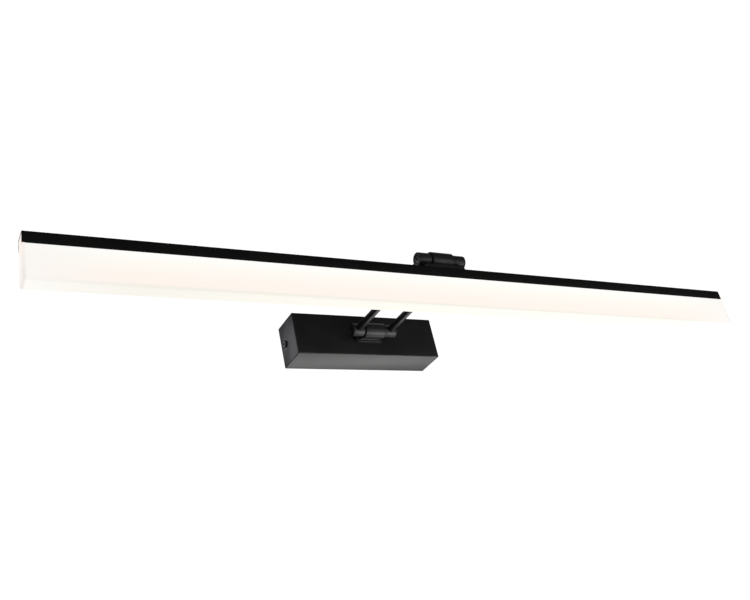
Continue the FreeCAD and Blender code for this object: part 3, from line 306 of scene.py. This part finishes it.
metalSet = {
    "zincPlate": {"dark": (0.50, 0.51, 0.53), "light": (0.68, 0.69, 0.71), "rough": (0.24, 0.38),
                  "metal": 1.0, "grain": 0.006, "stretch": (1, 1, 1), "depth": 0.000006},
    "blackenedSteel": {"dark": (0.045, 0.045, 0.047), "light": (0.070, 0.070, 0.073),
                       "rough": (0.28, 0.40), "metal": 0.7, "grain": 0.0008,
                       "stretch": (1, 1, 1), "depth": 0.000005},
    "turnedBrass": {"dark": (0.62, 0.44, 0.17), "light": (0.78, 0.60, 0.28), "rough": (0.22, 0.36),
                    "metal": 1.0, "grain": 0.0006, "stretch": (1, 0.2, 1), "depth": 0.000006},
}


def makeMetal(name):
    metal = metalSet[name]
    finish, tree, shader = startFinish(name, metal["rough"][0], metal["metal"])
    grain = addNoise(tree, objectPlace(tree, metal["stretch"]), metal["grain"], 4.0)
    wander(tree, shader, grain, metal)
    addBump(tree, shader, addNoise(tree, objectPlace(tree), metal["grain"] / 4), metal["depth"])
    return finish


mouldedSet = {
    "rubberBush": {"dark": (0.018, 0.018, 0.018), "light": (0.03, 0.03, 0.03),
                   "rough": (0.70, 0.85), "grain": 0.0008},
    "darkNylon": {"dark": (0.030, 0.030, 0.031), "light": (0.045, 0.045, 0.046),
                  "rough": (0.42, 0.55), "grain": 0.0010},
    "foamTape": {"dark": (0.72, 0.72, 0.69), "light": (0.86, 0.86, 0.83),
                 "rough": (0.85, 0.95), "grain": 0.0012},
    "whiteCase": {"dark": (0.74, 0.74, 0.73), "light": (0.82, 0.82, 0.81),
                  "rough": (0.38, 0.50), "grain": 0.0009},
    "boardGreen": {"dark": (0.010, 0.090, 0.035), "light": (0.02, 0.15, 0.06),
                   "rough": (0.28, 0.40), "grain": 0.0020},
    "componentDark": {"dark": (0.030, 0.032, 0.040), "light": (0.060, 0.062, 0.075),
                      "rough": (0.30, 0.45), "grain": 0.0030},
    "milkyNylon": {"dark": (0.66, 0.66, 0.62), "light": (0.78, 0.78, 0.75),
                   "rough": (0.30, 0.42), "grain": 0.0020},
    "boardWhite": {"dark": (0.80, 0.80, 0.78), "light": (0.88, 0.88, 0.86),
                   "rough": (0.32, 0.44), "grain": 0.0020},
    "supplyBrown": {"dark": (0.100, 0.050, 0.022), "light": (0.150, 0.078, 0.036),
                    "rough": (0.38, 0.50), "grain": 0.0010},
    "wireWhite": {"dark": (0.74, 0.74, 0.72), "light": (0.84, 0.84, 0.82),
                  "rough": (0.35, 0.48), "grain": 0.0008},
}
mouldedDepth = 0.000010


def makeMoulded(name):
    skin = mouldedSet[name]
    finish, tree, shader = startFinish(name, skin["rough"][0])
    place = objectPlace(tree)
    cloud = addNoise(tree, place, 6 * skin["grain"], 3.0)  # the tint wanders wider than the grain
    wander(tree, shader, cloud, skin)
    addBump(tree, shader, addNoise(tree, place, skin["grain"]), mouldedDepth)
    return finish


chipSet = {"phosphor": (0.92, 0.70, 0.22), "silicone": (0.96, 0.84, 0.48), "rough": 0.3,
           "glow": (1.0, 0.93, 0.80), "strength": 1.2, "grain": 0.0009, "depth": 0.00002}


def makeChipGlow():
    finish, tree, shader = startFinish("chipPhosphor", chipSet["rough"])
    cloud = addNoise(tree, objectPlace(tree), chipSet["grain"])
    tint = mixTints(tree, cloud, chipSet["phosphor"], chipSet["silicone"])
    tree.links.new(tint, shader.inputs["Base Color"])
    shader.inputs["Emission Color"].default_value = (*chipSet["glow"], 1)
    shader.inputs["Emission Strength"].default_value = chipSet["strength"]
    addBump(tree, shader, cloud, chipSet["depth"])
    return finish


finishes = {name: makeCoat(name) for name in coatSet}
finishes.update({name: makeMetal(name) for name in metalSet})
finishes.update({name: makeMoulded(name) for name in mouldedSet})
finishes["opalTrough"] = makeOpal("trough", "diffuser")
finishes["opalCap"] = makeOpal("cap", "left_end_cap")
finishes["chipPhosphor"] = makeChipGlow()
print("finishes made:", len(finishes))

# The record's material slots and the finish that each of them gets.
slotFinish = {
    "black_sheet": "blackSheetCoat", "black_casting": "blackCastCoat",
    "black_tube": "blackRodCoat", "black_extrusion": "blackChannelCoat",
    "black_screw": "blackenedSteel", "zinc_steel": "zincPlate", "brass": "turnedBrass",
    "black_rubber": "rubberBush", "dark_nylon": "darkNylon", "white_foam": "foamTape",
    "white_case": "whiteCase", "green_board": "boardGreen", "dark_component": "componentDark",
    "clear_nylon": "milkyNylon", "white_board": "boardWhite", "led_phosphor": "chipPhosphor",
    "opal_acrylic": "opalTrough", "opal_cap": "opalCap", "supply_wire": "supplyBrown",
    "white_wire": "wireWhite",
}
nodeSlot = {part["node"]: part["material_slot"] for part in frame["record"]["subparts"]}


def paintNodes():
    for name, node in nodes.items():
        for slot in node.material_slots:
            slot.material = finishes[slotFinish[nodeSlot[name]]]


paintNodes()
print("nodes painted")


# Ways of working that several pieces share.
def pickOnly(piece):
    bpy.ops.object.select_all(action="DESELECT")
    piece.select_set(True)
    bpy.context.view_layer.objects.active = piece


def settle(piece, name):  # puts the place, turn and scale into the mesh
    piece.name = name
    piece.data.name = name
    pickOnly(piece)
    bpy.ops.object.transform_apply(location=True, rotation=True, scale=True)
    return piece


def addBlock(name, low, high):
    bpy.ops.object.select_all(action="DESELECT")
    low, high = Vector(low), Vector(high)
    bpy.ops.mesh.primitive_cube_add(size=1, location=(low + high) / 2)
    bpy.context.object.scale = high - low
    return settle(bpy.context.object, name)


boreSides = 48  # flats around a fine bore


def addRound(name, start, way, width, length, sides=96):  # a round bar from start along way
    bpy.ops.object.select_all(action="DESELECT")
    turn = way.to_track_quat("Z", "Y").to_euler()
    middle = Vector(start) + way * length / 2
    bpy.ops.mesh.primitive_cylinder_add(vertices=sides, radius=width / 2, depth=length,
                                        location=middle, rotation=turn)
    return settle(bpy.context.object, name)


def addTaper(name, start, way, startWidth, endWidth, length, sides=96):
    bpy.ops.object.select_all(action="DESELECT")
    turn = way.to_track_quat("Z", "Y").to_euler()
    middle = Vector(start) + way * length / 2
    bpy.ops.mesh.primitive_cone_add(vertices=sides, radius1=startWidth / 2, radius2=endWidth / 2,
                                    depth=length, location=middle, rotation=turn)
    return settle(bpy.context.object, name)


def applyLast(piece):
    pickOnly(piece)
    bpy.ops.object.modifier_apply(modifier=piece.modifiers[-1].name)


def combine(piece, tool, operation="DIFFERENCE"):
    boolean = piece.modifiers.new("combine", "BOOLEAN")
    boolean.object = tool
    boolean.operation = operation
    boolean.solver = "EXACT"
    applyLast(piece)
    bpy.data.objects.remove(tool)
    return piece


def pickParts(piece, kind, test):  # edit mode, with the faces or edges that pass the test selected
    pickOnly(piece)
    bpy.ops.object.mode_set(mode="EDIT")
    bpy.ops.mesh.select_mode(type=kind)
    bpy.ops.mesh.select_all(action="DESELECT")
    shape = bmesh.from_edit_mesh(piece.data)
    shape.normal_update()
    found = 0
    for part in shape.faces if kind == "FACE" else shape.edges:
        if test(part):
            part.select_set(True)
            found += 1
    shape.select_flush_mode()
    bmesh.update_edit_mesh(piece.data)
    if not found:
        raise ValueError(f"nothing picked on {piece.name}")


def leaveEdit():
    bpy.ops.object.mode_set(mode="OBJECT")


def allAt(part, axis, value):  # every corner of a face or edge lies at that place on the axis
    return all(abs(corner.co[axis] - value) < near for corner in part.verts)


def runsAlong(edge, axis):
    run = edge.verts[1].co - edge.verts[0].co
    return abs(abs(run[axis]) - run.length) < near


def roundEdges(piece, test, radius, steps):
    pickParts(piece, "EDGE", test)
    bpy.ops.mesh.bevel(offset=radius, segments=steps, profile=0.5, affect="EDGES")
    leaveEdit()


def roundLong(piece, height, radius, steps):  # rounds the edges that run along X at that height
    roundEdges(piece, lambda edge: runsAlong(edge, 0) and allAt(edge, 2, height), radius, steps)


def growFaces(piece, test, inset, push):  # insets the faces, then extrudes them by push
    pickParts(piece, "FACE", test)
    if inset:
        bpy.ops.mesh.inset(thickness=inset)
    bpy.ops.mesh.extrude_region_move(TRANSFORM_OT_translate={"value": push})
    leaveEdit()


def joinFlats(piece):  # faces that lie in one plane become one
    pickParts(piece, "FACE", lambda face: True)
    bpy.ops.mesh.dissolve_limited(angle_limit=math.radians(0.05))
    leaveEdit()


def finishPiece(piece, body, slot, *replaced, smooth=35):
    pickOnly(piece)
    bpy.ops.object.shade_smooth_by_angle(angle=math.radians(smooth))
    piece.data.materials.clear()
    piece.data.materials.append(finishes[slotFinish[slot]])
    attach(piece, body)
    if replaced:
        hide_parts(*replaced)
    return piece


# Box cover: a drawn sheet shell, open towards the wall.
coverSet = {"sheet": 0.0015, "edgeRound": 0.0008, "edgeSteps": 4, "rimRound": 0.0003, "rimSteps": 2,
            "screwHole": 0.0043}


def makeBoxCover():
    low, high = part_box("box_cover")
    cover = addBlock("boxCover", low, high)
    pickParts(cover, "FACE", lambda face: face.normal.y > 0.9)
    bpy.ops.mesh.delete(type="FACE")
    leaveEdit()
    roundEdges(cover, lambda edge: not edge.is_boundary, coverSet["edgeRound"],
               coverSet["edgeSteps"])
    wall = cover.modifiers.new("sheet", "SOLIDIFY")
    wall.thickness = coverSet["sheet"]
    wall.offset = -1
    wall.use_even_offset = True
    applyLast(cover)

    def atRim(edge):
        meetsSide = any(abs(face.normal.y) < 0.1 for face in edge.link_faces)
        return allAt(edge, 1, high.y) and len(edge.link_faces) == 2 and meetsSide

    roundEdges(cover, atRim, coverSet["rimRound"], coverSet["rimSteps"])
    screwLow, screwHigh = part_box("cover_screws")
    middle = (screwLow + screwHigh) / 2
    start = (low.x - beyond, middle.y, middle.z)
    combine(cover, addRound("screwHoles", start, alongX, coverSet["screwHole"],
                            high.x - low.x + 2 * beyond, boreSides))
    return finishPiece(cover, "wall_box", "black_sheet", "box_cover")


# Hexagon socket in the middle of a head, used by the cover screws and the axles.
def cutSocket(piece, face, inward, acrossFlats, depth):
    acrossCorners = acrossFlats * 2 / math.sqrt(3)
    combine(piece, addRound("socket", face - inward * depth, inward, acrossCorners, 2 * depth, 6))


# Cover screws: low round heads with a hexagon socket, one in each end of the cover.
screwSet = {"head": 0.0074, "edgeRound": 0.0004, "edgeSteps": 4, "shank": 0.004, "socket": 0.0025,
            "socketDepth": 0.0011, "reach": 0.008}


def makeCoverScrews():
    low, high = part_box("cover_screws")
    coverLow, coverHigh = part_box("box_cover")
    middle = (low + high) / 2
    headHeight = high.x - coverHigh.x
    step = (screwSet["head"] - screwSet["shank"]) / 2
    for side, word, seat in ((-1, "Left", coverLow.x), (1, "Right", coverHigh.x)):
        out = alongX * side
        start = Vector((seat, middle.y, middle.z))
        top = start + out * headHeight
        screw = addRound(f"coverScrew{word}", start, out, screwSet["head"], headHeight, 64)
        roundEdges(screw, lambda edge: allAt(edge, 0, top.x), screwSet["edgeRound"],
                   screwSet["edgeSteps"])
        cutSocket(screw, top, -out, screwSet["socket"], screwSet["socketDepth"])
        growFaces(screw, lambda face: allAt(face, 0, seat), step, -out * screwSet["reach"])
        finishPiece(screw, "wall_box", "black_screw", "cover_screws")


# Hinge bases: plate, neck and barrel cast in one. Seat is the side that lies on the box or the bar.
baseSet = {
    "lower_hinge_base": {"name": "lowerHingeBase", "body": "wall_box", "hinge": "arm_tilt",
                         "seat": alongY, "neck": 0.010},
    "upper_hinge_base": {"name": "upperHingeBase", "body": "lamp", "hinge": "lamp_tilt",
                         "seat": -alongZ, "neck": 0.011},
    "barrelLength": 0.022, "barrel": 0.015, "plate": 0.0025, "corner": 0.003, "cornerSteps": 8,
    "rim": 0.0004, "rimSteps": 3, "bore": 0.0041, "foot": 0.0006,
}


def makeHingeBase(node):
    base = baseSet[node]
    low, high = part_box(node)
    axis = hinges[base["hinge"]]
    seat = base["seat"]
    up = 1 if abs(seat.y) > 0 else 2  # the axis that points from the seat to the barrel
    side = 3 - up
    seatPlace = high[up] if seat[up] > 0 else low[up]
    face = seatPlace - seat[up] * baseSet["plate"]
    length, rim, rimSteps = baseSet["barrelLength"], baseSet["rim"], baseSet["rimSteps"]
    start = axis - alongX * length / 2
    barrel = addRound(base["name"], start, alongX, baseSet["barrel"], length)
    radius, half = baseSet["barrel"] / 2, base["neck"] / 2
    drop = math.sqrt(radius * radius - half * half)
    pickParts(barrel, "FACE", lambda part: True)
    bpy.ops.mesh.bisect(plane_co=axis + seat * drop, plane_no=seat, use_fill=True, clear_outer=True)
    leaveEdit()

    def isCut(part):
        return part.normal.dot(seat) > 0.99 and part.calc_area() > radius * radius

    growFaces(barrel, isCut, 0, seat * (abs(face - axis[up]) - drop + baseSet["plate"] / 2))
    joinFlats(barrel)
    ends = (axis.x - length / 2, axis.x + length / 2)
    roundEdges(barrel, lambda edge: any(allAt(edge, 0, end) for end in ends), rim, rimSteps)
    boreStart = start - alongX * beyond
    combine(barrel, addRound("bore", boreStart, alongX, baseSet["bore"], length + 2 * beyond, boreSides))
    plateLow, plateHigh = low.copy(), high.copy()
    plateLow[up], plateHigh[up] = min(seatPlace, face), max(seatPlace, face)
    plate = addBlock("plate", plateLow, plateHigh)
    roundEdges(plate, lambda edge: runsAlong(edge, up), baseSet["corner"], baseSet["cornerSteps"])
    roundEdges(plate, lambda edge: allAt(edge, up, face), rim, rimSteps)
    combine(barrel, plate, "UNION")

    def atFoot(edge):
        inside = all(abs(corner.co[side] - axis[side]) < half + rim and
                     abs(corner.co.x - axis.x) < length / 2 + near for corner in edge.verts)
        return allAt(edge, up, face) and inside

    roundEdges(barrel, atFoot, baseSet["foot"], 3)
    return finishPiece(barrel, base["body"], "black_casting", node)


# Knuckles: turned ends of the arm. The rod enters along rodWay; the left ones hold the axle's head.
knuckleSet = {"width": 0.0124, "rim": 0.0004, "rimSteps": 3, "bore": 0.004, "headSeat": 0.0073,
              "headSeatDepth": 0.0035, "headSides": 72, "mouth": 0.0003, "socketMouth": 0.0005,
              "mouthDepth": 0.0006, "socketSides": 64}


def makeKnuckle(node, name, hinge, outward, rodWay, hasHead):
    low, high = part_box(node)
    axis = hinges[hinge]
    innerX, outerX = (low.x, high.x) if outward > 0 else (high.x, low.x)
    out = alongX * outward
    length = high.x - low.x
    width, seat = knuckleSet["width"], knuckleSet["headSeat"]
    start = Vector((innerX, axis.y, axis.z))
    knuckle = addRound(name, start, out, width, length)
    roundEdges(knuckle, lambda edge: allAt(edge, 0, innerX) or allAt(edge, 0, outerX),
               knuckleSet["rim"], knuckleSet["rimSteps"])
    if hasHead:
        depth, mouth, sides = knuckleSet["headSeatDepth"], knuckleSet["mouth"], knuckleSet["headSides"]
        end = Vector((outerX, axis.y, axis.z))
        combine(knuckle, addRound("headSeat", end + out * depth, -out, seat, 2 * depth, sides))
        combine(knuckle, addTaper("headMouth", end + out * mouth, -out, seat + 4 * mouth, seat,
                                  2 * mouth, sides))
    boreStart = start - out * length / 4
    combine(knuckle, addRound("axleBore", boreStart, out, knuckleSet["bore"], length, boreSides))
    middle = Vector(((low.x + high.x) / 2, axis.y, axis.z))
    rodLow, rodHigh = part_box("left_rod")
    socket, sides = rodHigh.x - rodLow.x, knuckleSet["socketSides"]
    foot = middle + rodWay * seat / 2
    combine(knuckle, addRound("rodSocket", foot, rodWay, socket, width, sides))
    depth, spread = knuckleSet["mouthDepth"], 4 * knuckleSet["socketMouth"]
    crown = middle + rodWay * (width / 2 - depth)
    combine(knuckle, addTaper("socketMouth", crown, rodWay, socket, socket + spread, 2 * depth, sides))
    return finishPiece(knuckle, "arm", "black_casting", node)


# Axles: a cap head with a hexagon socket, then the shank.
axleSet = {"head": 0.007, "headHeight": 0.0032, "headRound": 0.0004, "headSides": 72, "shank": 0.004,
           "socket": 0.0025, "socketDepth": 0.002, "endRound": 0.0003}


def makeAxle(node, name, hinge):
    low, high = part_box(node)
    axis = hinges[hinge]
    start = Vector((low.x, axis.y, axis.z))
    seat = low.x + axleSet["headHeight"]
    axle = addRound(name, start, alongX, axleSet["head"], axleSet["headHeight"], axleSet["headSides"])
    roundEdges(axle, lambda edge: allAt(edge, 0, low.x), axleSet["headRound"], 3)
    cutSocket(axle, start, alongX, axleSet["socket"], axleSet["socketDepth"])
    step = (axleSet["head"] - axleSet["shank"]) / 2
    growFaces(axle, lambda face: allAt(face, 0, seat), step, alongX * (high.x - seat))
    roundEdges(axle, lambda edge: allAt(edge, 0, high.x), axleSet["endRound"], 2)
    return finishPiece(axle, "arm", "black_screw", node)


# Rods: drawn tubes between the knuckles.
rodSet = {"bore": 0.0046, "endRound": 0.0003}


def makeRod(node, name):
    low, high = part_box(node)
    middle = (low + high) / 2
    width, length = high.x - low.x, high.y - low.y
    rod = addRound(name, (middle.x, low.y, middle.z), alongY, width, length, 64)
    roundEdges(rod, lambda edge: allAt(edge, 1, low.y) or allAt(edge, 1, high.y),
               rodSet["endRound"], 2)
    start = (middle.x, low.y - width, middle.z)
    combine(rod, addRound("bore", start, alongY, rodSet["bore"], length + 2 * width, boreSides))
    return finishPiece(rod, "arm", "black_tube", node)


# Top channel: an inverted extrusion with two pairs of ribs that hold the light board.
channelSet = {"wall": 0.0012, "top": 0.0015, "edgeRound": 0.0006, "edgeSteps": 4, "lipRound": 0.00025,
              "rib": 0.0008, "ribHeight": 0.0006, "slack": 0.00015, "studHole": 0.0063}


def makeTopChannel():
    low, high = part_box("top_channel")
    boardLow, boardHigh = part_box("led_board")
    channel = addBlock("topChannel", low, high)
    roundLong(channel, high.z, channelSet["edgeRound"], channelSet["edgeSteps"])
    roundLong(channel, low.z, channelSet["lipRound"], 2)
    ribTop = boardHigh.z + channelSet["slack"] + channelSet["ribHeight"]
    ribLow = boardLow.z - channelSet["ribHeight"]
    wall, rib = channelSet["wall"], channelSet["rib"]
    cuts = [  # how far in from each side, then the bottom and the top
        (wall, ribTop, high.z - channelSet["top"]),
        (wall + rib, ribLow - near, ribTop + near),
        (wall, boardLow.z, boardHigh.z + channelSet["slack"]),
        (wall, low.z - beyond, ribLow),
    ]
    for inset, bottom, top in cuts:
        combine(channel, addBlock("hollow", (low.x - beyond, low.y + inset, bottom),
                                  (high.x + beyond, high.y - inset, top)))
    middle = (low + high) / 2
    start, depth = (middle.x, middle.y, high.z + channelSet["top"]), 3 * channelSet["top"]
    combine(channel, addRound("studHole", start, -alongZ, channelSet["studHole"], depth, boreSides))
    return finishPiece(channel, "lamp", "black_extrusion", "top_channel")


# Diffuser: a hollow opal trough whose tongue fits between the channel's lips.
troughSet = {"wall": 0.002, "cornerRound": 0.0014, "cornerSteps": 6, "lipRound": 0.0002,
             "tongueGap": 0.0001, "seam": 0.00015}


def makeDiffuser():
    low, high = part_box("diffuser")
    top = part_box("top_channel")[0].z - troughSet["seam"]
    trough = addBlock("diffuser.trough", low, (high.x, high.y, top))
    roundLong(trough, low.z, troughSet["cornerRound"], troughSet["cornerSteps"])
    roundLong(trough, top, troughSet["lipRound"], 2)
    wall, inset = troughSet["wall"], channelSet["wall"] + troughSet["tongueGap"]
    combine(trough, addBlock("tongue", (low.x, low.y + inset, top - wall / 2),
                             (high.x, high.y - inset, high.z)), "UNION")
    hollow = addBlock("hollow", (low.x - beyond, low.y + wall, low.z + wall),
                      (high.x + beyond, high.y - wall, high.z + beyond))
    combine(trough, hollow)
    return finishPiece(trough, "lamp", "opal_acrylic", "diffuser")


# End caps: moulded, with a head between the channel's walls and a hollow plug inside the trough.
capSet = {"faceRound": 0.0004, "faceSteps": 3, "gap": 0.00015, "headFoot": 0.002, "plug": 0.0012,
          "slack": 0.00015, "plugOverlap": 0.0005}


def makeEndCap(node, name, outward):
    low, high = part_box(node)
    troughLow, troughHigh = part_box("diffuser")
    boardLow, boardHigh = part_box("led_board")
    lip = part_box("top_channel")[0].z
    innerX, outerX = (troughHigh.x, high.x) if outward > 0 else (troughLow.x, low.x)
    left, right = min(innerX, outerX), max(innerX, outerX)
    cap = addBlock(name, (left, low.y, low.z), (right, high.y, lip))
    roundLong(cap, low.z, troughSet["cornerRound"], troughSet["cornerSteps"])
    roundEdges(cap, lambda edge: allAt(edge, 0, outerX), capSet["faceRound"], capSet["faceSteps"])
    inset = channelSet["wall"] + capSet["gap"]
    head = addBlock("head", (left, low.y + inset, lip - capSet["headFoot"]),
                    (right, high.y - inset, high.z))
    ribLow = boardLow.z - channelSet["ribHeight"] - capSet["gap"]
    ribTop = boardHigh.z + channelSet["slack"] + channelSet["ribHeight"] + capSet["gap"]
    for wallY in (low.y + inset, high.y - inset):
        rib = channelSet["rib"]
        combine(head, addBlock("notch", (left - beyond, wallY - rib, ribLow),
                               (right + beyond, wallY + rib, ribTop)))
    combine(cap, head, "UNION")
    plugX = low.x if outward > 0 else high.x
    inset = troughSet["wall"] + capSet["slack"]
    plugLow = Vector((min(plugX, innerX), low.y + inset, low.z + inset))
    plugHigh = Vector((max(plugX, innerX), high.y - inset, lip))
    intoCap, intoTrough = alongX * outward * capSet["plugOverlap"], alongX * -outward * beyond
    wall = Vector((0, capSet["plug"], capSet["plug"]))
    hollowLow, hollowHigh = plugLow + wall, plugHigh - wall
    if outward > 0:
        plugHigh, hollowLow = plugHigh + intoCap, hollowLow + intoTrough
    else:
        plugLow, hollowHigh = plugLow + intoCap, hollowHigh + intoTrough
    plug = addBlock("plug", plugLow, plugHigh)
    combine(plug, addBlock("hollow", hollowLow, hollowHigh))
    combine(cap, plug, "UNION")
    return finishPiece(cap, "lamp", "opal_cap", node)


makeBoxCover()
makeCoverScrews()
print("wall box made")
for nodeName in ("lower_hinge_base", "upper_hinge_base"):
    makeHingeBase(nodeName)
print("hinge bases made")
for level, hingeName, rodWay in (("lower", "arm_tilt", -alongY), ("upper", "lamp_tilt", alongY)):
    makeKnuckle(f"{level}_left_knuckle", f"{level}LeftKnuckle", hingeName, -1, rodWay, True)
    makeKnuckle(f"{level}_right_knuckle", f"{level}RightKnuckle", hingeName, 1, rodWay, False)
    makeAxle(f"{level}_axle", f"{level}Axle", hingeName)
makeRod("left_rod", "leftRod")
makeRod("right_rod", "rightRod")
print("arm made")
makeTopChannel()
makeDiffuser()
makeEndCap("left_end_cap", "leftEndCap", -1)
makeEndCap("right_end_cap", "rightEndCap", 1)
print("lamp bar made")
